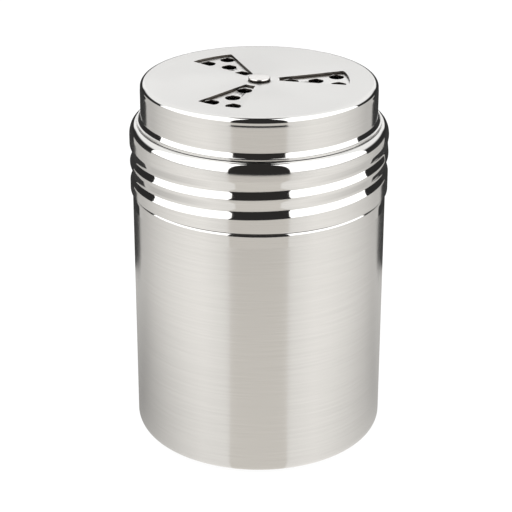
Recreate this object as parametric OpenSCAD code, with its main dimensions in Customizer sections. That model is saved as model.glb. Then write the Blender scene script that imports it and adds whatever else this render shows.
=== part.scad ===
// Spice shaker: a drawn steel can, a lid that screws on to its neck, and a dial that turns on
// the lid to bring its windows over the coarse holes, the fine holes or plain sheet.
// Millimetres, +Z up. The shaker stands at z = 0 with its axis on Z, and its front faces -Y.

/* [Can] */
// Outside diameter of the can
can_d = 64; // [60:0.5:70]
// Height of the shaker, to the top of the rivet
total_h = 95; // [90:0.5:110]
// Thickness of the can's and the lid's sheet
sheet_t = 0.6; // [0.5:0.05:0.65]
// Outside radius of the bend round the can's base
base_bend_r = 3.5; // [2:0.25:6]
// How far the neck steps in from the can's wall
neck_inset = 0.8; // [0.75:0.05:0.85]
// Radius of each of the two bends that step the neck in
neck_bend_r = 1; // [0.8:0.05:1.2]
// Drop from the lid's rim to where the can's wall starts to bend in
rim_clear = 1.3; // [1.3:0.05:1.6]
// Turns of thread on the neck
neck_turns = 2; // [1:0.25:2]

/* [Lid] */
// How far the lid's wall stands out from the can's wall
lid_step = 0.55; // [0.55:0.05:0.65]
// Height of the threaded wall of the lid
skirt_h = 15.1; // [14.6:0.1:16]
// Radius of the curl at the lid's rim
rim_curl_r = 0.7; // [0.65:0.05:0.75]
// Angle through which the rim curls under, in degrees
rim_curl_a = 90; // [80:5:90]
// Height of the shoulder over the threaded wall
shoulder_h = 2.6; // [2.2:0.1:3]
// Radius of the shoulder's corner
shoulder_corner_r = 1.1; // [0.9:0.05:1.3]
// Angle by which the shoulder leans in, in degrees
shoulder_lean = 15; // [10:1:18]
// How far the raised part under the dial is set in from the lid's wall
tower_inset = 3.75; // [3.75:0.05:4]
// Height of the raised part over the shoulder
tower_h = 9.9; // [9.9:0.1:14]
// Radius of the raised part's upper corner
tower_corner_r = 1.2; // [0.8:0.1:1.5]
// Radius at the foot of the raised part
tower_foot_r = 0.8; // [0.5:0.1:0.8]

/* [Thread] */
// Rise in one turn
pitch = 5; // [5:0.05:5.2]
// Depth of the groove that is rolled into the lid
groove_depth = 0.45; // [0.3:0.05:0.45]
// Width of that groove
groove_w = 3; // [2.4:0.1:3]
// Turns of the groove
groove_turns = 1.7; // [1:0.1:1.7]
// Drop from the top of the threaded wall to the groove's start
groove_drop = 3.3; // [3.3:0.1:3.6]
// Direction of the groove's start, in degrees from +X
groove_start_a = 10; // [0:5:360]
// Radial step from the neck to the crest of its thread
neck_thread_h = 0.5; // [0.3:0.05:0.5]
// Width of the neck's thread at its foot
neck_thread_w = 1.3; // [1:0.1:1.3]

/* [Dial] */
// Gap between the dial's wall and the raised part of the lid
dial_gap = 0.35; // [0.35:0.05:0.45]
// Thickness of the dial's sheet
dial_t = 0.5; // [0.4:0.05:0.5]
// Radius of the dial's upper edge
dial_edge_r = 1.6; // [1:0.1:2]
// Radius of the flare at the foot of the dial's wall
flare_r = 1.4; // [1:0.1:1.6]
// How far the dial's flange stands out from its wall
flange_w = 2.05; // [1.75:0.05:2.05]
// Gap between the flange and the lid's shoulder
flange_gap = 0.3; // [0.3:0.05:0.6]
// Running gap over and under the dial, and round the rivet
run_gap = 0.1; // [0.05:0.01:0.1]
// Radius of a window's inner end
window_r_in = 5; // [4:0.25:5.5]
// Radius of a window's outer end
window_r_out = 22.4; // [21.8:0.1:24]
// Angle across a window, in degrees
window_a = 30; // [28:1:32]
// Direction of the first window as the dial stands, in degrees from +X
window_dir = 4; // [0:1:8]

/* [Holes] */
// Diameter of a coarse hole
coarse_d = 3.8; // [3:0.1:3.8]
// Radius at which the inner coarse hole lies
coarse_r_inner = 7.9; // [7.5:0.1:8.2]
// Radius at which the middle coarse hole lies
coarse_r_middle = 14.1; // [13:0.1:14.5]
// Radius at which the two outer coarse holes lie
coarse_r_outer = 19.7; // [19:0.1:20.2]
// Angle of each outer coarse hole from the group's middle, in degrees
coarse_spread_a = 8.6; // [8:0.1:8.8]
// Direction of the first coarse group, in degrees from +X
coarse_dir = 3; // [0:1:8]
// Diameter of a fine hole
fine_d = 1.5; // [1:0.1:1.8]
// Rows of fine holes in a group
fine_rows = 4; // [2:1:4]
// Distance between neighbouring fine holes
fine_step = 3.7; // [3:0.1:3.8]
// Radius at which the first fine hole lies
fine_r = 8; // [7.5:0.1:9]
// Turn from a coarse group to the fine group beside it, in degrees
fine_turn_a = 40; // [38:1:42]

/* [Rivet] */
// Diameter of the rivet's shank
shank_d = 3.4; // [3:0.1:3.6]
// Diameter of the rivet's head
head_d = 5.5; // [5:0.1:6]
// Height of the rivet's head
head_h = 0.5; // [0.4:0.05:0.8]
// Radius of the head's edge
head_edge_r = 0.25; // [0.1:0.05:0.35]
// Diameter of the rivet's spread tail
tail_d = 5.2; // [4.6:0.1:6]
// Height of the rivet's spread tail
tail_h = 0.8; // [0.6:0.05:1.2]
// Gap between the shank and what it holds
shank_gap = 0.05; // [0.02:0.01:0.08]

/* [Washers and seal] */
// Diameter of the spring washer
spring_d = 10.4; // [8:0.1:10.6]
// Thickness of the spring washer
spring_t = 0.35; // [0.25:0.05:0.5]
// Height of the spring washer's cone
spring_h = 0.6; // [0.3:0.05:0.8]
// Diameter of the flat washer
washer_d = 6.8; // [6:0.1:8]
// Thickness of the flat washer
washer_t = 0.5; // [0.4:0.05:0.8]
// Thickness of the seal ring
seal_t = 0.8; // [0.6:0.05:0.9]
// Radial width of the seal ring
seal_w = 1.75; // [1.2:0.05:1.8]
// Gap over the seal, where the lid turns on it
seal_gap = 0.05; // [0.02:0.01:0.08]

/* [Hidden] */

$fn = 96;
// Segments in the arc of a bend
bend_steps = 8;
// Places along one turn of a thread
turn_steps = 72;
// Share of a thread's width that each flank takes
flank_share = 0.3;
// Share of a turn over which a thread tapers at each end, and of its size that it ends at
fade_share = 0.2;
end_share = 0.4;
// Windows, and groups of coarse and of fine holes
groups = 3;
// How far a cut runs past what it cuts
overrun = sheet_t;
// Share of the sheet by which the feet of a thread lie behind the face that they shape
foot_share = 0.17;
foot_sink = foot_share * sheet_t;

can_r = can_d / 2;
neck_r = can_r - neck_inset;
lid_r = can_r + lid_step;
tower_r = lid_r - tower_inset;
dial_r = tower_r + dial_gap + dial_t;
flange_r = dial_r + flange_w;
shank_r = shank_d / 2;
hole_r = shank_r + shank_gap;
seal_r = neck_r - seal_gap;

// Heights, from the top of the rivet down
dial_z = total_h - head_h - run_gap;
plate_z = dial_z - dial_t - run_gap;
ledge_z = plate_z - tower_h;
skirt_top_z = ledge_z - shoulder_h;
rim_z = skirt_top_z - skirt_h;
flange_z = ledge_z + flange_gap + dial_t;
seal_z = ledge_z - sheet_t - seal_gap - seal_t;
neck_z = seal_z - run_gap;
spring_z = plate_z - sheet_t;
spring_a = atan(spring_h / (spring_d / 2 - hole_r));
washer_z = spring_z - spring_h - spring_t * cos(spring_a);
tail_z = washer_z - washer_t - tail_h;

// The neck's step: two equal bends that turn opposite ways
step_a = acos(1 - neck_inset / (2 * neck_bend_r));
step_z = rim_z - rim_clear;

// Centre of the shoulder's corner
corner_z = ledge_z - shoulder_corner_r;
lean_z = corner_z + shoulder_corner_r * sin(shoulder_lean);
corner_r = lid_r - shoulder_corner_r * cos(shoulder_lean)
    - (lean_z - skirt_top_z) * tan(shoulder_lean);

// Centre of the thread groove at its start
groove_z = skirt_top_z - groove_drop;

// Points of an arc about a centre, from one angle to another
function arc(centre, r, from_a, to_a) = [
    for (i = [0:bend_steps])
        centre + r * [
            cos(from_a + (to_a - from_a) * i / bend_steps),
            sin(from_a + (to_a - from_a) * i / bend_steps)
        ]
];

// Unit vector to the left of the step from one point to the next
function left(p, q) = [p.y - q.y, q.x - p.x] / norm(q - p);

// Where a path's point goes when the path moves left by t
function moved(path, i, t) =
    let (last = len(path) - 1)
    let (a = left(path[max(i - 1, 0)], path[max(i, 1)]))
    let (b = left(path[min(i, last - 1)], path[min(i + 1, last)]))
    path[i] + t * (a + b) / (1 + a * b);

// A round piece pressed from sheet: the path is its outside, and its inside lies to the left
module pressed(path, t) {
    last = len(path) - 1;
    inside = [for (i = [last:-1:0]) moved(path, i, t)];
    rotate_extrude() polygon(concat(path, inside));
}

// Size of a thread's form at a share of its length, against its full size
function taper(share, ends) =
    let (smooth = (1 - cos(180 * min(1, min(share, 1 - share) / ends))) / 2)
    end_share + (1 - end_share) * smooth;

// A thread form that runs down and round from its start and tapers at both ends. Its feet lie
// at foot_r, out of sight, and its crest at crest_r.
module thread(foot_r, crest_r, w, top_z, turns) {
    steps = ceil(turns * turn_steps);
    ends = fade_share / turns;
    form = [[0, -0.5], [1, flank_share - 0.5], [1, 0.5 - flank_share], [0, 0.5]];
    across = len(form);
    points = [
        for (i = [0:steps])
            let (a = groove_start_a - 360 * turns * i / steps)
            let (z = top_z - pitch * turns * i / steps)
            let (size = taper(i / steps, ends))
            for (place = form)
                let (r = foot_r + size * place.x * (crest_r - foot_r))
                [r * cos(a), r * sin(a), z + size * place.y * w]
    ];
    walls = [
        for (i = [0:steps - 1], k = [0:across - 1])
            let (m = (k + 1) % across)
            let (p = i * across)
            each [
                [p + k, p + across + k, p + across + m],
                [p + k, p + across + m, p + m]
            ]
    ];
    start = [for (k = [0:across - 1]) k];
    end = [for (k = [across - 1:-1:0]) steps * across + k];
    polyhedron(points, concat(walls, [start, end]));
}

// The sector of a ring, centred on a direction
module ring_sector(r_in, r_out, a, dir, z, h) {
    reach = r_out / cos(a / 2) + overrun;
    intersection() {
        translate([0, 0, z]) difference() {
            cylinder(h = h, r = r_out);
            translate([0, 0, -overrun]) cylinder(h = h + 2 * overrun, r = r_in);
        }
        rotate(dir) translate([0, 0, z - overrun]) linear_extrude(h + 2 * overrun)
            polygon([[0, 0], reach * [cos(a / 2), -sin(a / 2)], reach * [cos(a / 2), sin(a / 2)]]);
    }
}

// A hole through the lid's plate
module plate_hole(r, dir, d) {
    rotate(dir) translate([r, 0, plate_z - sheet_t - overrun])
        cylinder(h = sheet_t + 2 * overrun, d = d);
}

// The steel can, with its base, polished band, stepped neck and neck thread in one piece
module can_body() {
    low = [can_r - neck_bend_r, step_z];
    high = low + 2 * neck_bend_r * [cos(step_a), sin(step_a)];
    path = concat(
        [[0, 0]],
        arc([can_r - base_bend_r, base_bend_r], base_bend_r, -90, 0),
        arc(low, neck_bend_r, 0, step_a),
        [for (i = [1:bend_steps]) arc(high, neck_bend_r, 180 + step_a, 180)[i]],
        [[neck_r, neck_z]]
    );
    color("lightgray") {
        pressed(path, sheet_t);
        thread(neck_r - foot_sink, neck_r + neck_thread_h, neck_thread_w,
            groove_z + pitch / 2, neck_turns);
    }
}

// The lid: curled rim, rolled thread, shoulder, and the raised plate with its holes
module lid_shell() {
    wall_r = lid_r - sheet_t;
    path = concat(
        arc([lid_r - rim_curl_r, rim_z + rim_curl_r], rim_curl_r, -rim_curl_a, 0),
        [[lid_r, skirt_top_z]],
        arc([corner_r, corner_z], shoulder_corner_r, shoulder_lean, 90),
        arc([tower_r + tower_foot_r, ledge_z + tower_foot_r], tower_foot_r, 270, 180),
        arc([tower_r - tower_corner_r, plate_z - tower_corner_r], tower_corner_r, 0, 90),
        [[hole_r, plate_z]]
    );
    color("silver") {
        difference() {
            pressed(path, sheet_t);
            thread(lid_r + foot_sink, lid_r - groove_depth, groove_w, groove_z,
                groove_turns);
            for (g = [0:groups - 1]) {
                dir = coarse_dir + 360 * g / groups;
                plate_hole(coarse_r_inner, dir, coarse_d);
                plate_hole(coarse_r_middle, dir, coarse_d);
                plate_hole(coarse_r_outer, dir - coarse_spread_a, coarse_d);
                plate_hole(coarse_r_outer, dir + coarse_spread_a, coarse_d);
                for (row = [0:fine_rows - 1], i = [0:row]) {
                    r = fine_r + row * fine_step;
                    spread_a = 2 * asin(fine_step / (2 * r));
                    plate_hole(r, dir + fine_turn_a + (i - row / 2) * spread_a, fine_d);
                }
            }
        }
        thread(wall_r + foot_sink, wall_r - groove_depth, groove_w, groove_z, groove_turns);
    }
}

// The dial that turns on the lid: windowed top, wall, flare and flange
module dial_cap() {
    path = concat(
        [[flange_r, flange_z]],
        arc([dial_r + flare_r, flange_z + flare_r], flare_r, 270, 180),
        arc([dial_r - dial_edge_r, dial_z - dial_edge_r], dial_edge_r, 0, 90),
        [[shank_r + run_gap, dial_z]]
    );
    color("gainsboro") difference() {
        pressed(path, dial_t);
        for (g = [0:groups - 1])
            ring_sector(window_r_in, window_r_out, window_a, window_dir + 360 * g / groups,
                dial_z - dial_t - overrun, dial_t + 2 * overrun);
    }
}

// The rivet that the dial turns on, with its head on top and its spread tail inside the lid
module rivet() {
    head_r = head_d / 2;
    tail_r = tail_d / 2;
    outline = concat(
        [[0, tail_z]],
        arc([tail_r - tail_h / 2, tail_z + tail_h / 2], tail_h / 2, -90, 0),
        [
            [tail_r, tail_z + tail_h],
            [shank_r, tail_z + tail_h],
            [shank_r, total_h - head_h],
            [head_r, total_h - head_h]
        ],
        arc([head_r - head_edge_r, total_h - head_edge_r], head_edge_r, 0, 90),
        [[0, total_h]]
    );
    color("gainsboro") rotate_extrude() polygon(outline);
}

// The coned spring washer that draws the rivet's head down on the dial
module spring_washer() {
    color("darkgray") pressed([[spring_d / 2, spring_z], [hole_r, spring_z - spring_h]], spring_t);
}

// The flat washer that the rivet's tail is spread over
module flat_washer() {
    color("darkgray") translate([0, 0, washer_z - washer_t]) difference() {
        cylinder(h = washer_t, d = washer_d);
        translate([0, 0, -overrun]) cylinder(h = washer_t + 2 * overrun, r = hole_r);
    }
}

// The soft ring that seals the lid's shoulder to the can's neck
module seal_ring() {
    color("whitesmoke") translate([0, 0, seal_z]) difference() {
        cylinder(h = seal_t, r = seal_r);
        translate([0, 0, -overrun]) cylinder(h = seal_t + 2 * overrun, r = seal_r - seal_w);
    }
}

can_body();
lid_shell();
dial_cap();
rivet();
spring_washer();
flat_washer();
seal_ring();
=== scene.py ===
"""A steel spice shaker: the looks of its can, screw lid, dial and rivet, made round the CAD frame."""

import logging
import math
from dataclasses import dataclass
from enum import Enum
from typing import Iterable, Optional, Sequence, Union

import bpy
from mathutils import Matrix, Vector

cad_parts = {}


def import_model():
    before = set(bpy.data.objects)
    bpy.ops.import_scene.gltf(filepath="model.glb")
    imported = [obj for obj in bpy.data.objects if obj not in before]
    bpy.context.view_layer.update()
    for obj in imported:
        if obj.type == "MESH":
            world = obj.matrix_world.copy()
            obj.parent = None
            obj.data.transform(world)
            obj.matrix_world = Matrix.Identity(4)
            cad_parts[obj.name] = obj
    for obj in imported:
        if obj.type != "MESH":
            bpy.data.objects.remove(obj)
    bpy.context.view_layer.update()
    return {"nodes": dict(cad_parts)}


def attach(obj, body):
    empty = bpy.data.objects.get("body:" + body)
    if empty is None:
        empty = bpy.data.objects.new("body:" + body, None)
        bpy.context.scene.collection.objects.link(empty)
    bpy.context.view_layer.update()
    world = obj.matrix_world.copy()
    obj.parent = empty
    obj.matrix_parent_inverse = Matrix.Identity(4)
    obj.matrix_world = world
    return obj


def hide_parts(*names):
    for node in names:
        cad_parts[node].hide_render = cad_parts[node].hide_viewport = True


LOG = logging.getLogger("shaker")
MM = 0.001
# Radius in millimetres of a ring that is gathered into one point on the axis.
AXIS = 0.02
# Distance in metres within which two points are one.
SAME = 1e-7
# Ends past those of an azimuth, which runs from 0 in front to 180 behind, and of the table in metres.
BEFORE, BEHIND, BEYOND = -10.0, 200.0, 9.0
WHITE = (1.0, 1.0, 1.0, 1.0)
# Settings of the nodes that are added most.
SOFT = {"interpolation_type": "SMOOTHSTEP"}
COLOURS = {"data_type": "RGBA"}
ADD, TIMES, LENGTH, DEGREES, ABSOLUTE, MAXIMUM = (
    {"operation": kind} for kind in ("ADD", "MULTIPLY", "LENGTH", "DEGREES", "ABSOLUTE", "MAXIMUM"))

Point = tuple[float, float]
Three = tuple[float, float, float]
Colour = tuple[float, float, float, float]
Profile = list[Point]
Piece = bpy.types.Object
Socket = bpy.types.NodeSocket
Look = bpy.types.Material


def linear(hex_colour: str) -> Colour:
    """Turns an sRGB hex colour to the linear RGBA that Blender's nodes take.

    Args:
        hex_colour: Six hex digits, such as "C9C6C1".

    Returns:
        Linear red, green and blue, and an alpha of 1.
    """
    parts = [int(hex_colour[i : i + 2], 16) / 255 for i in (0, 2, 4)]
    flat = [c / 12.92 if c <= 0.04045 else ((c + 0.055) / 1.055) ** 2.4 for c in parts]
    return (flat[0], flat[1], flat[2], 1.0)


def arc(centre: Point, radius: float, start: float, end: float, steps: int) -> Profile:
    """Points along a bend of a profile.

    Args:
        centre: Radius and height of the bend's centre, in millimetres.
        radius: Radius of the bend.
        start: Angle of the first point, in degrees from outwards to up.
        end: Angle of the last point.
        steps: Number of parts that the bend is cut into.

    Returns:
        The points, the first and the last included.
    """
    turns = [math.radians(start + (end - start) * i / steps) for i in range(steps + 1)]
    return [(centre[0] + radius * math.cos(t), centre[1] + radius * math.sin(t)) for t in turns]


def rise(radius: float, low: float, high: float, steps: int) -> Profile:
    """Points straight up a wall, without its lowest point.

    Args:
        radius: Radius of the wall.
        low: Height that the wall starts from.
        high: Height of its last point.
        steps: Number of parts between the two.

    Returns:
        The points from just over the lowest to the highest.
    """
    return [(radius, low + (high - low) * i / steps) for i in range(1, steps + 1)]


class Tools:
    """The modelling steps that every piece of the shaker is made with."""

    @staticmethod
    def clear() -> None:
        """Leaves edit mode and selects nothing."""
        if bpy.context.object and bpy.context.object.mode != "OBJECT":
            bpy.ops.object.mode_set(mode="OBJECT")
        bpy.ops.object.select_all(action="DESELECT")

    @staticmethod
    def take(piece: Piece) -> None:
        """Makes a piece the only selected and the active one."""
        Tools.clear()
        piece.select_set(True)
        bpy.context.view_layer.objects.active = piece

    @staticmethod
    def settle(piece: Piece) -> None:
        """Puts a piece's place, turn and scale into its mesh."""
        Tools.take(piece)
        bpy.ops.object.transform_apply(location=True, rotation=True, scale=True)

    @staticmethod
    def turned(name: str, profile: Sequence[Point], sides: int, closed: bool = False) -> Piece:
        """Draws a round shell from a circle, ring by ring, as a presser draws sheet.

        Args:
            name: Name of the new piece.
            profile: Radius and height of each ring, in millimetres.
            sides: Number of sides of each ring.
            closed: True where the last ring is gathered into one point on the axis.

        Returns:
            The open shell, with its faces pointing outwards.
        """
        Tools.clear()
        radius, height = profile[0]
        bpy.ops.mesh.primitive_circle_add(
            vertices=sides, radius=radius * MM, fill_type="NOTHING", location=(0, 0, height * MM)
        )
        piece = bpy.context.object
        piece.name = name
        Tools.settle(piece)
        bpy.ops.object.mode_set(mode="EDIT")
        bpy.ops.mesh.select_mode(type="EDGE")
        bpy.ops.mesh.select_all(action="SELECT")
        for (r_a, z_a), (r_b, z_b) in zip(profile, profile[1:]):
            bpy.ops.mesh.extrude_edges_move(TRANSFORM_OT_translate={"value": (0, 0, (z_b - z_a) * MM)})
            if not math.isclose(r_a, r_b):
                share = r_b / r_a
                bpy.ops.transform.resize(value=(share, share, 1), center_override=(0, 0, z_b * MM))
        if closed:
            bpy.ops.mesh.merge(type="CENTER")
        bpy.ops.mesh.select_all(action="SELECT")
        bpy.ops.mesh.normals_make_consistent(inside=False)
        bpy.ops.object.mode_set(mode="OBJECT")
        Tools.face_out(piece)
        return piece

    @staticmethod
    def face_out(piece: Piece) -> None:
        """Turns an open shell's faces over if its widest wall faces the axis."""
        widest = max(piece.data.polygons, key=lambda f: math.hypot(f.center.x, f.center.y))
        if widest.normal.x * widest.center.x + widest.normal.y * widest.center.y < 0:
            piece.data.flip_normals()

    @staticmethod
    def thicken(piece: Piece, wall: float) -> None:
        """Gives an open shell its sheet, on the inner side.

        Args:
            piece: The shell, with its faces pointing outwards.
            wall: Thickness of the sheet, in millimetres.
        """
        sheet = piece.modifiers.new("sheet", "SOLIDIFY")
        sheet.thickness = wall * MM
        sheet.offset = -1.0
        sheet.use_even_offset = True
        sheet.use_quality_normals = True
        Tools.apply(piece, sheet.name)

    @staticmethod
    def apply(piece: Piece, modifier: str) -> None:
        """Applies one modifier of a piece."""
        Tools.take(piece)
        bpy.ops.object.modifier_apply(modifier=modifier)

    @staticmethod
    def cut(piece: Piece, cutters: Sequence[Piece]) -> None:
        """Takes closed cutters out of a piece, and deletes them.

        Args:
            piece: The piece that is cut.
            cutters: Closed meshes that don't touch each other.
        """
        Tools.take(cutters[0])
        for cutter in cutters[1:]:
            cutter.select_set(True)
        if len(cutters) > 1:
            bpy.ops.object.join()
        tool = cutters[0]
        punch = piece.modifiers.new("punch", "BOOLEAN")
        punch.operation = "DIFFERENCE"
        punch.solver = "EXACT"
        punch.object = tool
        Tools.apply(piece, punch.name)
        bpy.data.objects.remove(tool)

    @staticmethod
    def ease(piece: Piece, width: float, steps: int, angle: float) -> None:
        """Rounds a piece's sharp edges a little, as tumbling does.

        Args:
            piece: The piece whose edges are rounded.
            width: Width of the rounding, in millimetres.
            steps: Number of parts across it.
            angle: Edges that turn by more than this, in degrees, are rounded.
        """
        edge = piece.modifiers.new("edge", "BEVEL")
        edge.width = width * MM
        edge.segments = steps
        edge.limit_method = "ANGLE"
        edge.angle_limit = math.radians(angle)
        edge.use_clamp_overlap = True
        Tools.apply(piece, edge.name)

    @staticmethod
    def smooth(piece: Piece, angle: float) -> None:
        """Shades a piece smooth, but for edges that turn by more than an angle in degrees."""
        Tools.take(piece)
        bpy.ops.object.shade_smooth_by_angle(angle=math.radians(angle), keep_sharp_edges=True)

    @staticmethod
    def even(piece: Piece) -> None:
        """Lets large flat faces keep their normals, so that small edges don't shade them."""
        weigh = piece.modifiers.new("weigh", "WEIGHTED_NORMAL")
        weigh.keep_sharp = True
        weigh.weight = 90
        Tools.apply(piece, weigh.name)

    @staticmethod
    def rod(radius: float, low: float, high: float, place: Point, sides: int) -> Piece:
        """A plain upright rod that is used as a punch.

        Args:
            radius: Radius of the rod, in millimetres.
            low: Height of its foot.
            high: Height of its top.
            place: Where its axis stands, in millimetres across and back.
            sides: Number of sides.

        Returns:
            The rod.
        """
        Tools.clear()
        bpy.ops.mesh.primitive_cylinder_add(
            vertices=sides, radius=radius * MM, depth=(high - low) * MM,
            location=(place[0] * MM, place[1] * MM, (low + high) / 2 * MM),
        )
        punch = bpy.context.object
        Tools.settle(punch)
        return punch

    @staticmethod
    def finish(piece: Piece, look: Look, body: str, slot: str, node: str) -> None:
        """Gives a piece its material, its body and the CAD node that it stands for.

        Args:
            piece: The finished mesh.
            look: Its material.
            body: Name of the CAD body that it rides on.
            slot: Name of the record's material slot; not used.
            node: Name of the CAD node that it replaces.
        """
        piece.data.materials.clear()
        piece.data.materials.append(look)
        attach(piece, body)
        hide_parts(node)
        LOG.info("%s: %d faces, on %s", piece.name, len(piece.data.polygons), body)


def polar(radius: float, angle: float) -> Point:
    """Where a radius and an angle in degrees lead."""
    return (radius * math.cos(math.radians(angle)), radius * math.sin(math.radians(angle)))


class Lay(Enum):
    """Which way the fine lines of a finish run."""

    ROUND = "round the axis"
    CROSSED = "along one line"
    NONE = "no lines"


class Graph:
    """The node graph of a material or of the world, with one way to add a node."""

    def __init__(self, owner: Union[Look, bpy.types.World]) -> None:
        """Starts the owner's graph afresh."""
        owner.use_nodes = True
        self.tree = owner.node_tree
        self.tree.nodes.clear()

    def add(self, kind: str, settings: Optional[dict] = None, **links: object) -> bpy.types.Node:
        """Adds a node with its settings, its values and its links.

        Args:
            kind: Blender's name for the node.
            settings: Properties of the node itself.
            links: For each input, a value or the socket that feeds it. An underscore stands for a space,
                and a name such as in0 is the input of that number.

        Returns:
            The new node.
        """
        node = self.tree.nodes.new(kind)
        for key, value in (settings or {}).items():
            setattr(node, key, value)
        for key, value in links.items():
            place = int(key[2:]) if key[:2] == "in" and key[2:].isdigit() else key.replace("_", " ")
            socket = node.inputs[place]
            if isinstance(value, Socket):
                self.tree.links.new(value, socket)
            else:
                socket.default_value = value
        return node

    def window(self, value: Socket, low: float, high: float, soft: float) -> Socket:
        """Is 1 while a value lies from low to high, and 0 beyond, with soft ends."""
        enter = self.add("ShaderNodeMapRange", SOFT, Value=value, From_Min=low - soft,
                         From_Max=low + soft).outputs[0]
        leave = self.add("ShaderNodeMapRange", SOFT, Value=value, From_Min=high - soft, From_Max=high + soft,
                         To_Min=1.0, To_Max=0.0).outputs[0]
        return self.add("ShaderNodeMath", TIMES, in0=enter, in1=leave).outputs[0]

    def between(self, usual: Socket, other: float, value: Socket, low: float, high: float,
                soft: float) -> Socket:
        """Gives another number than the usual one where a value lies from low to high."""
        inside = self.window(value, low, high, soft)
        return self.add("ShaderNodeMix", in0=inside, in2=usual, in3=other).outputs[0]

    def length(self, x: Socket, y: Socket) -> Socket:
        """How far a place that is x across and y back lies from the middle."""
        flat = self.add("ShaderNodeCombineXYZ", X=x, Y=y).outputs[0]
        return self.add("ShaderNodeVectorMath", LENGTH, in0=flat).outputs["Value"]


@dataclass(frozen=True)
class SteelFinish:
    """A finish of bare stainless steel sheet, 18-8 grade, from mirror bright to satin.

    Its lines are the marks of the belt or lathe. They are finer than the render can show, so they are
    drawn line_mm apart, as coarse as it needs to show them. Where the sheet is bent it is polished by the
    die, so a leaning face is brighter than an upright or a flat one. A punched edge is dull, and it is
    darkened further with a painted shade colour.
    Leans are upright shares of a face's normal: where a zone starts, where it ends and how soft its ends
    are. The band is bright from one height to another. The shaded edge zone is how far out, from how low
    and up to how high the painted shade lies: on punched edges, or under a rivet's head. Tones are the two
    values of the noise that the dark and pale ends take.
    """

    name: str
    colour: str
    shade: str
    roughness: float
    lines: float
    line_mm: float = 0.25
    lay: Lay = Lay.ROUND
    anisotropy: float = 0.0
    bump: float = 0.0
    cloud: float = 0.01
    band: Optional[Point] = None
    bends: bool = False
    bright_roughness: float = 0.07
    flat_roughness: float = 0.0
    # Where a dark colour is painted on as shade, and that painted shade colour.
    shaded_edge_zone: Optional[Three] = None
    edge_shade_colour: str = "55504B"
    edge_roughness: float = 0.45
    edge_fade: float = 0.3
    edge_soft: float = 0.02
    band_soft: float = 0.06
    bent_leans: Three = (0.14, 0.985, 0.03)
    flat_leans: Three = (0.995, 2.0, 0.004)
    along_scale: float = 60.0
    plain_scale: float = 400.0
    cloud_scale: float = 70.0
    tones: Point = (0.3, 0.7)
    relief: float = 0.01

    def make(self) -> Look:
        """Builds the material.

        Returns:
            The material, with its lines, faint clouds, polished bends and bands, and dull edges darkened
            with painted shade.
        """
        look = bpy.data.materials.new(self.name)
        g = Graph(look)
        coord = g.add("ShaderNodeTexCoord")
        place = coord.outputs["Object"]
        lines = self.marks(g, place)
        dark, light = self.tones
        tone = g.add("ShaderNodeMapRange", SOFT, Value=lines, From_Min=dark, From_Max=light).outputs[0]
        pale = g.add("ShaderNodeMix", COLOURS, in0=tone, in6=linear(self.shade),
                     in7=linear(self.colour)).outputs[2]
        rough = g.add("ShaderNodeMapRange", SOFT, Value=lines, From_Min=dark, From_Max=light,
                      To_Min=self.roughness - self.lines, To_Max=self.roughness + self.lines).outputs[0]
        clouds = g.add("ShaderNodeTexNoise", Vector=place, Scale=self.cloud_scale, Detail=2.0).outputs[0]
        clouds = g.add("ShaderNodeMapRange", SOFT, Value=clouds, From_Min=dark, From_Max=light,
                       To_Min=-self.cloud, To_Max=self.cloud).outputs[0]
        rough = g.add("ShaderNodeMath", ADD, in0=rough, in1=clouds).outputs[0]
        rough = self.polish(g, rough, place, coord.outputs["Normal"])
        # Painted shade: the dull edges within the shaded edge zone take a dark colour.
        if self.shaded_edge_zone:
            edge = self.shaded_edges(g, place)
            rough = g.add("ShaderNodeMix", in0=edge, in2=rough, in3=self.edge_roughness).outputs[0]
            pale = g.add("ShaderNodeMix", COLOURS, in0=edge, in6=pale,
                         in7=linear(self.edge_shade_colour)).outputs[2]
        steel = g.add("ShaderNodeBsdfPrincipled", Base_Color=pale, Metallic=1.0, Roughness=rough)
        if self.anisotropy:
            # The marks run round the axis, and a quarter turn draws reflections out across them.
            steel.inputs["Anisotropic"].default_value = self.anisotropy
            steel.inputs["Anisotropic Rotation"].default_value = 0.25
            tangent = g.add("ShaderNodeTangent", {"direction_type": "RADIAL", "axis": "Z"})
            g.tree.links.new(tangent.outputs[0], steel.inputs["Tangent"])
        if self.bump:
            relief = g.add("ShaderNodeBump", Height=lines, Strength=self.bump, Distance=self.relief * MM)
            g.tree.links.new(relief.outputs[0], steel.inputs["Normal"])
        g.add("ShaderNodeOutputMaterial", Surface=steel.outputs[0])
        return look

    def marks(self, g: Graph, place: Socket) -> Socket:
        """The belt's or lathe's marks: noise that is drawn out along the lines' way."""
        across = 1 / (self.line_mm * MM)
        scales = {
            Lay.ROUND: (self.along_scale, self.along_scale, across),
            Lay.CROSSED: (self.along_scale, across, self.along_scale),
            Lay.NONE: (self.plain_scale,) * 3,
        }
        ground = g.add("ShaderNodeMapping", in0=place, Scale=scales[self.lay]).outputs[0]
        return g.add("ShaderNodeTexNoise", Vector=ground, Scale=1.0, Detail=2.0).outputs[0]

    def polish(self, g: Graph, rough: Socket, place: Socket, facing: Socket) -> Socket:
        """Sets the roughness of bends, flat faces and the polished band.

        Args:
            g: The material's graph.
            rough: The roughness elsewhere.
            place: Object coordinates.
            facing: The face's own normal.

        Returns:
            The roughness everywhere.
        """
        lean = g.add("ShaderNodeSeparateXYZ", in0=facing).outputs[2]
        lean = g.add("ShaderNodeMath", ABSOLUTE, in0=lean).outputs[0]
        if self.bends:
            rough = g.between(rough, self.bright_roughness, lean, *self.bent_leans)
        if self.flat_roughness:
            rough = g.between(rough, self.flat_roughness, lean, *self.flat_leans)
        if self.band:
            height = g.add("ShaderNodeSeparateXYZ", in0=place).outputs[2]
            low, high = self.band
            rough = g.between(rough, self.bright_roughness, height, low * MM, high * MM, self.band_soft * MM)
        return rough

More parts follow.
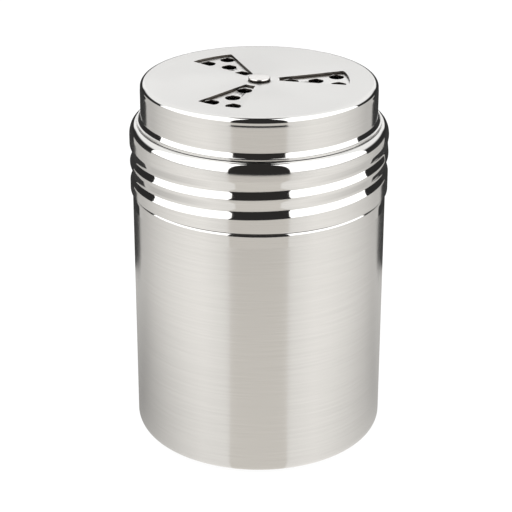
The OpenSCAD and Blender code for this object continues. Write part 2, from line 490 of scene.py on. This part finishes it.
    def shaded_edges(self, g: Graph, place: Socket) -> Socket:
        """Mask of the painted shade: 1 within the shaded edge zone, as on the walls of punched holes in the
        plate's thickness, and 0 elsewhere.
        """
        reach, low, high = self.shaded_edge_zone
        x, y, z = g.add("ShaderNodeSeparateXYZ", in0=place).outputs
        near = g.add("ShaderNodeMapRange", SOFT, Value=g.length(x, y), From_Min=reach * MM,
                     From_Max=(reach + self.edge_fade) * MM, To_Min=1.0, To_Max=0.0).outputs[0]
        deep = g.window(z, low * MM, high * MM, self.edge_soft * MM)
        return g.add("ShaderNodeMath", TIMES, in0=near, in1=deep).outputs[0]


@dataclass(frozen=True)
class SiliconeFinish:
    """Moulded food-grade silicone: it lets a little light in, so it looks soft, milky and matt."""

    name: str = "moulded_white_silicone"
    colour: str = "E6E4DF"
    roughness: float = 0.55
    unevenness: float = 0.06
    grain_mm: float = 0.4
    grain_depth: float = 0.02
    relief: float = 0.2
    milk: Point = (0.15, 0.002)

    def make(self) -> Look:
        """Builds the material.

        Returns:
            The material.
        """
        look = bpy.data.materials.new(self.name)
        g = Graph(look)
        place = g.add("ShaderNodeTexCoord").outputs["Object"]
        grain = g.add("ShaderNodeTexNoise", Vector=place, Scale=1 / (self.grain_mm * MM),
                      Detail=2.0).outputs[0]
        rough = g.add("ShaderNodeMapRange", Value=grain, To_Min=self.roughness - self.unevenness,
                      To_Max=self.roughness + self.unevenness).outputs[0]
        relief = g.add("ShaderNodeBump", Height=grain, Strength=self.relief,
                       Distance=self.grain_depth * MM).outputs[0]
        share, depth = self.milk
        soft = g.add("ShaderNodeBsdfPrincipled", Base_Color=linear(self.colour), Roughness=rough, IOR=1.41,
                     Subsurface_Weight=share, Subsurface_Scale=depth, Normal=relief)
        g.add("ShaderNodeOutputMaterial", Surface=soft.outputs[0])
        return look


@dataclass(frozen=True)
class Thread:
    """A rolled thread: a form that runs down round a wall, clockwise seen from above.

    Top is where its middle lies at its start angle. Its height is how far it stands out of the wall, and
    is below zero where it is rolled in. It reaches upper over its middle and lower under it, and fades in
    and out over a share of a turn. Blend is the share of a flank that each of its rounded ends takes, and
    at a half none of it is straight.
    """

    top: float
    turns: float
    height: float
    upper: float
    lower: float
    fade: float
    blend: float
    start: float = 10.0
    pitch: float = 5.0

    def roll(self, piece: Piece) -> None:
        """Rolls the thread into a shell, which has one wall at the thread's heights."""
        for vertex in piece.data.vertices:
            share = self.share(vertex.co)
            if share:
                moved = 1 + self.height * MM * share / math.hypot(vertex.co.x, vertex.co.y)
                vertex.co.x *= moved
                vertex.co.y *= moved

    def share(self, at: Vector) -> float:
        """How far the thread stands at a place, from 0 beside it to 1 along its middle."""
        angle = math.degrees(math.atan2(at.y, at.x))
        height = at.z / MM
        part = ((self.start - angle) % 360) / 360
        best = 0.0
        for lap in range(int(self.turns) + 2):
            along = part + lap
            if along >= self.turns:
                break
            off = height - (self.top - self.pitch * along)
            reach = self.upper if off > 0 else self.lower
            if abs(off) >= reach:
                continue
            end = min(1.0, min(along, self.turns - along) / self.fade)
            ease = (1 - math.cos(math.pi * end)) / 2
            best = max(best, ease * self.flank(1 - abs(off) / reach))
        return best

    def flank(self, share: float) -> float:
        """Height of a flank that is straight between two rounded ends, at a share of its length."""
        if share > 0.5:
            return 1 - self.flank(1 - share)
        if share < self.blend:
            return share * share / (2 * self.blend * (1 - self.blend))
        return (share - self.blend / 2) / (1 - self.blend)


@dataclass
class Can:
    """The deep-drawn can: rounded foot, brushed wall, polished band, stepped neck and its thread."""

    sides: int = 256
    radius: float = 32.0
    foot_r: float = 3.5
    sheet: float = 0.6
    wall_top: float = 65.0
    band: Point = (62.4, 67.2)
    step_r: float = 1.6
    step_angle: float = 41.41
    neck_r: float = 31.2
    neck_top: float = 82.35
    dish: float = 0.45
    dish_r: float = 25.5
    dish_bend: tuple[Point, ...] = ((0.9, 0.28), (1.6, 0.06), (2.1, 0.0))
    thread: Thread = Thread(top=80.6, turns=2.0, height=0.42, upper=0.95, lower=0.95, fade=0.22, blend=0.5)
    # Drawn sheet, brushed round with a belt: the marks lie along the wall, so it spreads what it reflects
    # up and down into soft upright bands. Under the lid the die left it bright, and it reflects sharply.
    finish: SteelFinish = SteelFinish("deep_drawn_steel_brushed_round", "CDCCCA", "C9C8C6", 0.21, 0.004,
                                      anisotropy=0.55, band=band, bright_roughness=0.08)

    def build(self) -> Piece:
        """Draws the can from its neck down to the middle of its base.

        Returns:
            The can's mesh.
        """
        turn = math.radians(self.step_angle)
        inner = self.radius - self.step_r
        high = (inner + 2 * self.step_r * math.cos(turn), self.wall_top + 2 * self.step_r * math.sin(turn))
        foot: Profile = [(AXIS, self.dish), (self.dish_r, self.dish)]
        foot += [(self.dish_r + r, z) for r, z in self.dish_bend]
        foot += arc((self.radius - self.foot_r, self.foot_r), self.foot_r, -90, 0, 20)
        wall = rise(self.radius, self.foot_r, self.band[0], 12)
        wall += rise(self.radius, self.band[0], self.wall_top, 4)
        step = arc((inner, self.wall_top), self.step_r, 0, self.step_angle, 8)[1:]
        step += arc(high, self.step_r, 180 + self.step_angle, 180, 8)[1:]
        neck = rise(self.neck_r, high[1], self.neck_top, 64)
        profile = foot + wall + step + neck
        can = Tools.turned("can", profile[::-1], self.sides, closed=True)
        self.thread.roll(can)
        Tools.thicken(can, self.sheet)
        Tools.smooth(can, 40)
        return can

    def dress(self) -> None:
        """Builds the can and gives it its finish."""
        Tools.finish(self.build(), self.finish.make(), "can", "can_steel", "can_body")


@dataclass
class Lid:
    """The screw lid: a curled rim, a rolled thread, a rounded shoulder and a raised plate with its holes."""

    sides: int = 256
    radius: float = 32.55
    sheet: float = 0.4
    rim: float = 66.2
    curl_r: float = 0.3
    wall_top: float = 80.6
    shoulder_w: float = 1.75
    ledge: float = 83.75
    raised_r: float = 28.8
    foot_r: float = 0.8
    edge_r: float = 1.2
    plate: float = 93.6
    plate_rings: Point = (25.0, 5.5)
    bore: float = 1.75
    groove: Thread = Thread(top=78.2, turns=1.72, height=-0.8, upper=2.8, lower=2.0, fade=0.1, blend=0.2)
    coarse_d: float = 3.8
    coarse_at: float = 3.0
    coarse_radii: Three = (7.9, 14.1, 19.7)
    coarse_spread: float = 8.6
    fine_d: float = 1.5
    fine_rows: int = 4
    fine_step: float = 3.7
    fine_from: float = 8.0
    fine_turn: float = 40.0
    edge_ease: float = 0.04
    # Pressed sheet with a light satin: the wall takes soft bands. The dies rub its bends and grooves
    # bright, so they show sharp black and white. The plate between its holes stays dull and evenly grey.
    # The walls of the plate's holes are dull cut sheet with a painted shade colour over it.
    finish: SteelFinish = SteelFinish(
        "pressed_steel_satin_with_polished_bends", "CFCECC", "CBCAC8", 0.16, 0.006, line_mm=0.3,
        anisotropy=0.74, bends=True, bright_roughness=0.06, flat_roughness=0.26,
        shaded_edge_zone=(24.0, plate - 0.7, plate - 0.04))

    def profile(self) -> Profile:
        """The outside of the lid from the inner lip of its rim up to the rivet's hole.

        Returns:
            Radius and height of each ring, in millimetres.
        """
        path = arc((self.radius - self.curl_r, self.rim + self.curl_r), self.curl_r, -90, 0, 6)
        path += rise(self.radius, self.rim + self.curl_r, self.wall_top, 84)
        inner, high = self.radius - self.shoulder_w, self.ledge - self.wall_top
        path += [(inner + self.shoulder_w * r, self.wall_top + high * z)
                 for r, z in arc((0, 0), 1, 0, 90, 16)[1:]]
        foot = self.raised_r + self.foot_r
        path += arc((foot, self.ledge + self.foot_r), self.foot_r, 270, 180, 6)
        path += arc((self.raised_r - self.edge_r, self.plate - self.edge_r), self.edge_r, 0, 90, 8)
        path += [(r, self.plate) for r in (*self.plate_rings, self.bore)]
        return path

    def build(self) -> Piece:
        """Presses the lid, rolls its thread and punches its plate.

        Returns:
            The lid's mesh.
        """
        lid = Tools.turned("lid", self.profile(), self.sides)
        self.groove.roll(lid)
        Tools.thicken(lid, self.sheet)
        Tools.cut(lid, self.punches())
        Tools.ease(lid, self.edge_ease, 1, 60)
        Tools.smooth(lid, 60)
        Tools.even(lid)
        return lid

    def punches(self) -> list[Piece]:
        """One punch for each coarse and fine hole.

        Returns:
            The punches, through the plate.
        """
        low, high = self.plate - 2 * self.sheet, self.plate + self.sheet
        inner, middle, outer = self.coarse_radii
        rods = []
        for turn in (0, 120, 240):
            way = self.coarse_at + turn
            for radius, angle in ((inner, way), (middle, way), (outer, way - self.coarse_spread),
                                  (outer, way + self.coarse_spread)):
                rods.append(Tools.rod(self.coarse_d / 2, low, high, polar(radius, angle), 48))
            for row in range(self.fine_rows):
                radius = self.fine_from + row * self.fine_step
                spread = math.degrees(2 * math.asin(self.fine_step / (2 * radius)))
                for i in range(row + 1):
                    angle = way + self.fine_turn + (i - row / 2) * spread
                    rods.append(Tools.rod(self.fine_d / 2, low, high, polar(radius, angle), 24))
        return rods

    def dress(self) -> None:
        """Builds the lid and gives it its finish."""
        Tools.finish(self.build(), self.finish.make(), "lid", "lid_steel", "lid_shell")


@dataclass
class Dial:
    """The turning cover: a flat top with three windows, polished edge, satin wall, flare and flange."""

    sides: int = 256
    wall_r: float = 29.65
    sheet: float = 0.5
    top: float = 94.2
    top_rings: Point = (25.0, 4.2)
    edge_r: float = 1.3
    ridge: float = 92.0
    ridge_h: float = 0.35
    ridge_w: float = 0.046
    ridge_bend: float = 0.1
    flare_top: float = 85.63
    flare_tilt: float = 27.0
    flare_foot: float = 0.2
    flare_head: float = 0.4
    flange_top: float = 84.4
    flange_r: float = 30.65
    bore: float = 1.8
    window_in: float = 5.0
    window_out: float = 22.4
    window_angle: float = 30.0
    window_at: float = 4.0
    window_corner: float = 0.4
    corner_reach: float = 0.02
    edge_ease: float = 0.05
    # Pressed sheet with a fine satin: the wall takes soft bands and the flat top an even grey. The edge
    # and the flare are buffed, so they show thin sharp lines of light and dark.
    # The walls of the windows and the bore are dull cut sheet with a painted shade colour over it.
    finish: SteelFinish = SteelFinish(
        "pressed_steel_satin_with_polished_edge", "CFCECC", "CBCAC8", 0.14, 0.006, anisotropy=0.4,
        band=(92.3, 93.1), bends=True, bright_roughness=0.06, flat_roughness=0.26,
        shaded_edge_zone=(24.0, top - 0.6, top - 0.04))

    def profile(self) -> Profile:
        """The outside of the dial from its flange's edge up to the rivet's hole.

        Returns:
            Radius and height of each ring, in millimetres.
        """
        path: Profile = [(self.flange_r, self.flange_top)]
        lean = 180 + self.flare_tilt
        head = arc((self.wall_r + self.flare_head, self.flare_top), self.flare_head, lean, 180, 6)
        foot = arc((0, self.flange_top + self.flare_foot), self.flare_foot, 270, lean, 6)
        spread = (head[0][1] - foot[-1][1]) * math.tan(math.radians(self.flare_tilt))
        out = head[0][0] + spread - foot[-1][0]
        path += [(out + r, z) for r, z in foot] + head
        path += rise(self.wall_r, self.flare_top, self.ridge, 12)
        bend, edge = self.ridge_bend, self.wall_r - self.ridge_w
        path += [(self.wall_r - bend * self.ridge_w, self.ridge + bend * self.ridge_h),
                 (edge + bend * self.ridge_w, self.ridge + (1 - bend) * self.ridge_h),
                 (edge, self.ridge + self.ridge_h)]
        path += arc((edge - self.edge_r, self.top - self.edge_r), self.edge_r, 0, 90, 14)
        path += [(r, self.top) for r in (*self.top_rings, self.bore)]
        return path

    def build(self) -> Piece:
        """Presses the dial and punches its windows.

        Returns:
            The dial's mesh.
        """
        dial = Tools.turned("dial", self.profile(), self.sides)
        Tools.thicken(dial, self.sheet)
        Tools.cut(dial, [self.window(self.window_at + turn) for turn in (0, 120, 240)])
        Tools.ease(dial, self.edge_ease, 2, 50)
        Tools.smooth(dial, 60)
        Tools.even(dial)
        return dial

    def window(self, way: float) -> Piece:
        """The punch for one window.

        Args:
            way: Angle of the window's middle, in degrees.

        Returns:
            A closed sector of a ring with rounded corners.
        """
        Tools.clear()
        low, high = self.top - 2 * self.sheet, self.top + self.sheet
        bpy.ops.mesh.primitive_plane_add(size=1, location=(0, 0, 0), rotation=(math.pi / 2, 0, 0))
        punch = bpy.context.object
        punch.scale = ((self.window_out - self.window_in) * MM, (high - low) * MM, 1)
        punch.location = ((self.window_out + self.window_in) / 2 * MM, 0, (low + high) / 2 * MM)
        Tools.settle(punch)
        bpy.ops.object.mode_set(mode="EDIT")
        bpy.ops.mesh.select_all(action="SELECT")
        bpy.ops.mesh.spin(steps=24, angle=math.radians(self.window_angle), center=(0, 0, 0), axis=(0, 0, 1))
        bpy.ops.mesh.select_all(action="SELECT")
        bpy.ops.mesh.remove_doubles(threshold=SAME)
        bpy.ops.mesh.normals_make_consistent(inside=False)
        bpy.ops.object.mode_set(mode="OBJECT")
        span = [math.degrees(math.atan2(v.co.y, v.co.x)) for v in punch.data.vertices]
        middle = (min(span) + max(span)) / 2
        punch.data.transform(Matrix.Rotation(math.radians(way - middle), 4, "Z"))
        self.round_corners(punch, way)
        return punch

    def round_corners(self, punch: Piece, way: float) -> None:
        """Rounds the four upright corners of a window's punch."""
        Tools.take(punch)
        half = self.window_angle / 2
        corners = [polar(r, way + turn) for r in (self.window_in, self.window_out) for turn in (-half, half)]
        bpy.ops.object.mode_set(mode="EDIT")
        bpy.ops.mesh.select_all(action="DESELECT")
        bpy.ops.object.mode_set(mode="OBJECT")
        for edge in punch.data.edges:
            a, b = (punch.data.vertices[i].co for i in edge.vertices)
            upright = abs(a.x - b.x) < SAME and abs(a.y - b.y) < SAME
            edge.select = upright and any(
                math.hypot(a.x / MM - x, a.y / MM - y) < self.corner_reach for x, y in corners)
        bpy.ops.object.mode_set(mode="EDIT")
        bpy.ops.mesh.select_mode(type="EDGE")
        bpy.ops.mesh.bevel(offset=self.window_corner * MM, segments=6, profile=0.5)
        bpy.ops.object.mode_set(mode="OBJECT")

    def dress(self) -> None:
        """Builds the dial and gives it its finish."""
        Tools.finish(self.build(), self.finish.make(), "dial", "dial_steel", "dial_cap")


@dataclass
class Rivet:
    """The rivet in the middle of the dial: a low head, a shank and a spread tail."""

    sides: int = 128
    head_r: float = 2.75
    head_edge: float = 0.25
    head_under: Point = (0.12, 0.14)
    top: float = 94.9
    seat: float = 94.3
    fillet: float = 0.02
    shank_r: float = 1.7
    tail_r: float = 2.6
    tail_top: float = 91.75
    tail_low: float = 90.95
    # Cold-headed wire, tumbled bright: an even reflection without lines. Its rim under the top and its shank
    # are dull, with painted shade: a dark colour for the crevice under the head.
    finish: SteelFinish = SteelFinish("headed_steel_rivet_bright", "D2D0CE", "CBC9C6", 0.16, 0.02,
                                      lay=Lay.NONE, shaded_edge_zone=(4.0, tail_top + 0.05, top - 0.24))

    def build(self) -> Piece:
        """Turns the rivet from its head down to its tail.

        Returns:
            The rivet's mesh.
        """
        e = self.head_edge
        tail_e = (self.tail_top - self.tail_low) / 2
        path: Profile = [(AXIS, self.top), (self.head_r - e, self.top)]
        path += arc((self.head_r - e, self.top - e), e, 90, 0, 8)[1:]
        inwards, up = self.head_under
        path += [(self.head_r, self.seat + up), (self.head_r - inwards, self.seat)]
        path += [(self.shank_r + self.fillet, self.seat), (self.shank_r, self.seat - self.fillet)]
        path += [(self.shank_r, self.tail_top), (self.tail_r, self.tail_top)]
        path += arc((self.tail_r - tail_e, self.tail_low + tail_e), tail_e, 0, -90, 8)
        path += [(AXIS, self.tail_low)]
        rivet = Tools.turned("rivet", path, self.sides, closed=True)
        Tools.take(rivet)
        bpy.ops.object.mode_set(mode="EDIT")
        bpy.ops.mesh.select_all(action="DESELECT")
        bpy.ops.mesh.select_non_manifold(extend=False, use_boundary=True, use_wire=False,
                                         use_multi_face=False, use_non_contiguous=False, use_verts=False)
        bpy.ops.mesh.merge(type="CENTER")
        bpy.ops.mesh.select_all(action="SELECT")
        bpy.ops.mesh.normals_make_consistent(inside=False)
        bpy.ops.object.mode_set(mode="OBJECT")
        Tools.smooth(rivet, 40)
        return rivet

    def dress(self) -> None:
        """Builds the rivet and gives it its finish."""
        Tools.finish(self.build(), self.finish.make(), "lid", "rivet_steel", "rivet")


@dataclass
class Hardware:
    """The spring washer, flat washer and seal inside the lid, whose CAD solids show as they are."""

    # Strip stamped as it comes from the mill: dull grey, with its rolling marks all one way.
    washer: SteelFinish = SteelFinish("stamped_spring_steel", "B9B7B4", "ABA9A6", 0.3, 0.05, line_mm=0.4,
                                      lay=Lay.CROSSED, bump=0.1)
    seal: SiliconeFinish = SiliconeFinish()

    def dress(self, nodes: dict[str, Piece]) -> None:
        """Gives the small inner parts their materials.

        Args:
            nodes: The CAD nodes by name.
        """
        steel, silicone = self.washer.make(), self.seal.make()
        for name, look in (("spring_washer", steel), ("flat_washer", steel), ("seal_ring", silicone)):
            nodes[name].data.materials.clear()
            nodes[name].data.materials.append(look)
            LOG.info("%s: CAD solid in %s", name, look.name)


@dataclass(frozen=True)
class SoftLight:
    """A tall soft light that the steel sees at both sides of the room.

    Turn is its first azimuth, its last and how soft its ends are, and height is the same for the angle
    over the table, all in degrees.
    """

    turn: Three
    height: Three
    strength: float


@dataclass
class Studio:
    """A pale table between two tall soft lights, in a room that is dark in front and low down behind.

    An azimuth is how far round from the front, to either side. Places on the table are in metres.
    """

    # The photo's camera. Its distance and aim are in millimetres, its focal length and the shaker's axis
    # in pixels of the image, and its roll in radians.
    elevation: float = 23.72
    distance: float = 448.4
    aim_z: float = 46.4
    focal_px: float = 1731.7
    axis_px: float = 258.8
    image_px: float = 512.0
    roll: float = 0.0029
    sensor: float = 36.0
    clip: Point = (0.01, 20.0)
    # The room that the steel sees, and the white that the camera sees past the table.
    dark: float = 0.036
    front_edge: float = 26.4
    side_edge: float = 105.0
    edge_soft: float = 0.5
    soft_lights: tuple[SoftLight, ...] = (
        SoftLight((front_edge, side_edge, edge_soft), (0.5, 76.0, 0.5), 2.3),
        SoftLight((side_edge, 152.0, 1.5), (18.0, 76.0, 5.0), 1.3),
        SoftLight((152.0, BEHIND, 4.0), (11.5, 76.0, 1.5), 1.27),
    )
    room_tint: Colour = (1.05, 1.0, 0.97, 1.0)
    room_white: float = 1.1
    # The table's painted light, by azimuth: pools that it glows with for the steel, taken round the can's
    # mirror focus in front of its axis.
    glow: tuple[Point, ...] = (
        (0.0, 0.93), (25.6, 0.93), (27.4, 1.15), (51.0, 1.33), (67.0, 1.30), (85.0, 1.18), (105.0, 0.98),
        (121.0, 0.78), (145.0, 0.72), (180.0, 0.72))
    focus: float = 0.016
    front_tint: Three = (1.0, 0.96, 0.9)
    side_tint: Three = (1.0, 0.98, 0.95)
    # What is left of the painted light near and far off, and the painted shadow close beside the can: all of
    # aside_shadow_depth at the left, and right_share of that at the right.
    fade_reach: Point = (0.03, 0.24)
    fade: Point = (1.0, 0.93)
    aside_turn: Point = (25.0, 115.0)
    aside_reach: Point = (0.03, 0.12)
    aside_shadow_depth: float = 0.52
    right_share: float = 0.6
    middle: float = 0.01
    # Where the table is painted dark: from these distances in front and behind, and in a strip behind that
    # starts nearer. The strip's angles and its start are measured from a corner beside the can.
    dark_from: Point = (0.45, 0.8)
    dark_soft: float = 0.02
    strip_corner: Point = (0.0305, 0.0105)
    strip_from: float = 0.108
    strip_turn: Three = (-170.0, 40.0, 0.5)
    strip_soft: float = 0.003
    # The table top itself, and what the camera sees of it.
    table_size: float = 8.0
    table_z: float = -0.0001
    table_colour: str = "F2F2F2"
    table_white: float = 1.03
    white_share: float = 0.9
    # The two lamps, which light what is matt. The steel sees the room's soft lights instead.
    lamp_size: float = 0.6
    lamp_power: float = 3.0
    lamp_at: Three = (0.7, -0.25, 0.6)

    def dress(self) -> None:
        """Lays the table, and makes the lights and the camera."""
        self.table()
        self.room()
        self.lamps()
        self.camera()

    def table(self) -> None:
        """A pale table top that the camera sees evenly white, and that glows for the steel with painted
        light: brighter pools beside the shaker, painted shadow by the can and painted dark far off. It is
        clear from under so that the foot shows.
        """
        Tools.clear()
        bpy.ops.mesh.primitive_plane_add(size=self.table_size, location=(0, 0, self.table_z))
        top = bpy.context.object
        top.name = "table"
        Tools.settle(top)
        look = bpy.data.materials.new("pale_table_top")
        g = Graph(look)
        place = g.add("ShaderNodeSeparateXYZ", in0=g.add("ShaderNodeTexCoord").outputs["Object"]).outputs
        x, y = place[0], place[1]
        far = g.length(x, y)
        # What the steel sees is painted light: an emission with pools, a painted shadow beside the can and
        # painted dark zones.
        turn = self.azimuth(g, x, g.add("ShaderNodeMath", ADD, in0=y, in1=self.focus).outputs[0])
        painted_glow = g.add("ShaderNodeMix", {"data_type": "RGBA", "blend_type": "MULTIPLY"}, in0=1.0,
                    in6=self.pools(g, turn), in7=self.level(g, x, far, turn)).outputs[2]
        painted_glow = g.add("ShaderNodeMix", COLOURS, in0=self.shade(g, x, y, far, turn), in6=painted_glow,
                    in7=(self.dark, self.dark, self.dark, 1.0)).outputs[2]
        painted_glow = g.add("ShaderNodeEmission", Color=painted_glow, Strength=self.most()).outputs[0]
        matt = g.add("ShaderNodeBsdfDiffuse", Color=linear(self.table_colour)).outputs[0]
        seen = g.add("ShaderNodeEmission", Color=WHITE, Strength=self.table_white).outputs[0]
        seen = g.add("ShaderNodeMixShader", in0=self.white_share, in1=matt, in2=seen).outputs[0]
        eye = g.add("ShaderNodeLightPath").outputs["Is Camera Ray"]
        face = g.add("ShaderNodeMixShader", in0=eye, in1=painted_glow, in2=seen).outputs[0]
        under = g.add("ShaderNodeNewGeometry").outputs["Backfacing"]
        clear = g.add("ShaderNodeBsdfTransparent").outputs[0]
        both = g.add("ShaderNodeMixShader", in0=under, in1=face, in2=clear).outputs[0]
        g.add("ShaderNodeOutputMaterial", Surface=both)
        top.data.materials.append(look)

    def most(self) -> float:
        """The table's most light. The colours of its pools are shares of it."""
        return max(value for _, value in self.glow)

    @staticmethod
    def azimuth(g: Graph, x: Socket, y: Socket) -> Socket:
        """How far a place or a direction lies from straight in front, in degrees to either side."""
        front = g.add("ShaderNodeMath", TIMES, in0=y, in1=-1.0).outputs[0]
        turn = g.add("ShaderNodeMath", {"operation": "ARCTAN2"}, in0=x, in1=front).outputs[0]
        turn = g.add("ShaderNodeMath", DEGREES, in0=turn).outputs[0]
        return g.add("ShaderNodeMath", ABSOLUTE, in0=turn).outputs[0]

    def pools(self, g: Graph, turn: Socket) -> Socket:
        """The colour of the table's painted pools of light at an azimuth."""
        part = g.add("ShaderNodeMath", {"operation": "DIVIDE"}, in0=turn, in1=180.0).outputs[0]
        ramp = g.add("ShaderNodeValToRGB", in0=part)
        stops = ramp.color_ramp.elements
        while len(stops) < len(self.glow):
            stops.new(0.5)
        for stop, (at, value) in zip(stops, self.glow):
            stop.position = at / 180
            tint = self.front_tint if at < self.front_edge else self.side_tint
            stop.color = tuple(value / self.most() * part for part in tint) + (1.0,)
        return ramp.outputs[0]

    def level(self, g: Graph, x: Socket, far: Socket, turn: Socket) -> Socket:
        """What is left of the table's painted light after it fades outwards and under its painted shadow
        beside the can.

        Args:
            g: The table's graph.
            x: Place across.
            far: Distance from the axis.
            turn: Azimuth.

        Returns:
            A share of the light.
        """
        ends = ((far, self.fade_reach, self.fade), (turn, self.aside_turn, (0.0, 1.0)),
                (far, self.aside_reach, (self.aside_shadow_depth, 0.0)),
                (x, (-self.middle, self.middle), (1.0, self.right_share)))
        level, *shadow_parts = (g.add("ShaderNodeMapRange", Value=value, From_Min=low, From_Max=high, To_Min=start,
                                To_Max=end).outputs[0] for value, (low, high), (start, end) in ends)
        # Painted shadow beside the can: where it lies by azimuth, by nearness and by side.
        painted_shadow: Union[Socket, float] = 1.0
        for part in shadow_parts:
            painted_shadow = g.add("ShaderNodeMath", TIMES, in0=part, in1=painted_shadow).outputs[0]
        kept = g.add("ShaderNodeMath", {"operation": "SUBTRACT"}, in0=1.0, in1=painted_shadow).outputs[0]
        return g.add("ShaderNodeMath", TIMES, in0=level, in1=kept).outputs[0]

    def shade(self, g: Graph, x: Socket, y: Socket, far: Socket, turn: Socket) -> Socket:
        """Where the table is painted dark: far off before and behind, and nearer straight behind.

        Args:
            g: The table's graph.
            x: Place across.
            y: Place back.
            far: Distance from the axis.
            turn: Azimuth.

        Returns:
            1 in the dark and 0 in the light.
        """
        dark: Union[Socket, float] = 0.0
        for start, low, high in zip(self.dark_from, (BEFORE, self.side_edge), (self.front_edge, BEHIND)):
            one = g.add("ShaderNodeMath", TIMES, in0=g.window(turn, low, high, self.edge_soft),
                        in1=g.window(far, start, BEYOND, self.dark_soft)).outputs[0]
            dark = g.add("ShaderNodeMath", MAXIMUM, in0=one, in1=dark).outputs[0]
        side, back = self.strip_corner
        aside = g.add("ShaderNodeMath", ABSOLUTE, in0=x).outputs[0]
        aside = g.add("ShaderNodeMath", ADD, in0=aside, in1=-side).outputs[0]
        past = g.add("ShaderNodeMath", ADD, in0=y, in1=back).outputs[0]
        angle = g.add("ShaderNodeMath", {"operation": "ARCTAN2"}, in0=aside, in1=past).outputs[0]
        angle = g.add("ShaderNodeMath", DEGREES, in0=angle).outputs[0]
        strip = g.window(angle, *self.strip_turn)
        for value, start in ((g.length(aside, past), self.strip_from), (past, 0.0)):
            strip = g.add("ShaderNodeMath", TIMES, in0=strip,
                          in1=g.window(value, start, BEYOND, self.strip_soft)).outputs[0]
        return g.add("ShaderNodeMath", MAXIMUM, in0=strip, in1=dark).outputs[0]

    def room(self) -> None:
        """The room as the steel sees it: tall soft lights at both sides, dark before and low behind."""
        world = bpy.data.worlds.new("studio")
        bpy.context.scene.world = world
        g = Graph(world)
        way = g.add("ShaderNodeTexCoord").outputs["Generated"]
        x, y, z = g.add("ShaderNodeSeparateXYZ", in0=way).outputs
        turn = self.azimuth(g, x, y)
        up = g.add("ShaderNodeMath", {"operation": "ARCSINE"}, in0=z).outputs[0]
        up = g.add("ShaderNodeMath", DEGREES, in0=up).outputs[0]
        light: Union[Socket, float] = self.dark
        for soft in self.soft_lights:
            one = g.add("ShaderNodeMath", TIMES, in0=g.window(turn, *soft.turn),
                        in1=g.window(up, *soft.height)).outputs[0]
            light = g.add("ShaderNodeMath", {"operation": "MULTIPLY_ADD"}, in0=one, in1=soft.strength,
                          in2=light).outputs[0]
        front = g.window(turn, BEFORE, self.front_edge, self.edge_soft)
        tint = g.add("ShaderNodeMix", COLOURS, in0=front, in6=WHITE, in7=self.room_tint).outputs[2]
        glow = g.add("ShaderNodeBackground", Color=tint, Strength=light).outputs[0]
        white = g.add("ShaderNodeBackground", Color=WHITE, Strength=self.room_white).outputs[0]
        eye = g.add("ShaderNodeLightPath").outputs["Is Camera Ray"]
        both = g.add("ShaderNodeMixShader", in0=eye, in1=glow, in2=white).outputs[0]
        g.add("ShaderNodeOutputWorld", Surface=both)
        bpy.context.scene.view_settings.view_transform = "Standard"

    def lamps(self) -> None:
        """Two large soft lamps, one at each side."""
        across, back, high = self.lamp_at
        for side in (-1, 1):
            data = bpy.data.lights.new("soft_light", "AREA")
            data.shape = "SQUARE"
            data.size = self.lamp_size
            data.energy = self.lamp_power
            lamp = bpy.data.objects.new("soft_light", data)
            bpy.context.scene.collection.objects.link(lamp)
            lamp.location = (across * side, back, high)
            lamp.rotation_mode = "QUATERNION"
            lamp.rotation_quaternion = lamp.location.to_track_quat("Z", "Y")
            lamp.visible_glossy = False
            lamp.visible_camera = False

    def camera(self) -> None:
        """The camera at the photo's place and angle."""
        data = bpy.data.cameras.new("photo_view")
        data.sensor_width = self.sensor
        data.lens = self.focal_px / self.image_px * self.sensor
        data.shift_x = -(self.axis_px - self.image_px / 2) / self.image_px
        data.clip_start, data.clip_end = self.clip
        camera = bpy.data.objects.new("photo_view", data)
        bpy.context.scene.collection.objects.link(camera)
        tilt = math.radians(self.elevation)
        back = Vector((0, -math.cos(tilt), math.sin(tilt)))
        camera.location = Vector((0, 0, self.aim_z * MM)) + back * self.distance * MM
        look = (-back).to_track_quat("-Z", "Y")
        camera.rotation_mode = "QUATERNION"
        camera.rotation_quaternion = look @ Matrix.Rotation(self.roll, 4, "Z").to_quaternion()
        bpy.context.scene.camera = camera


def main() -> None:
    """Loads the frame and dresses every piece of the shaker."""
    logging.basicConfig(level=logging.INFO, format="%(message)s")
    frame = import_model()
    Studio().dress()
    for maker in (Can(), Lid(), Dial(), Rivet()):
        maker.dress()
    Hardware().dress(frame["nodes"])
    Tools.clear()


if __name__ == "__main__":
    main()
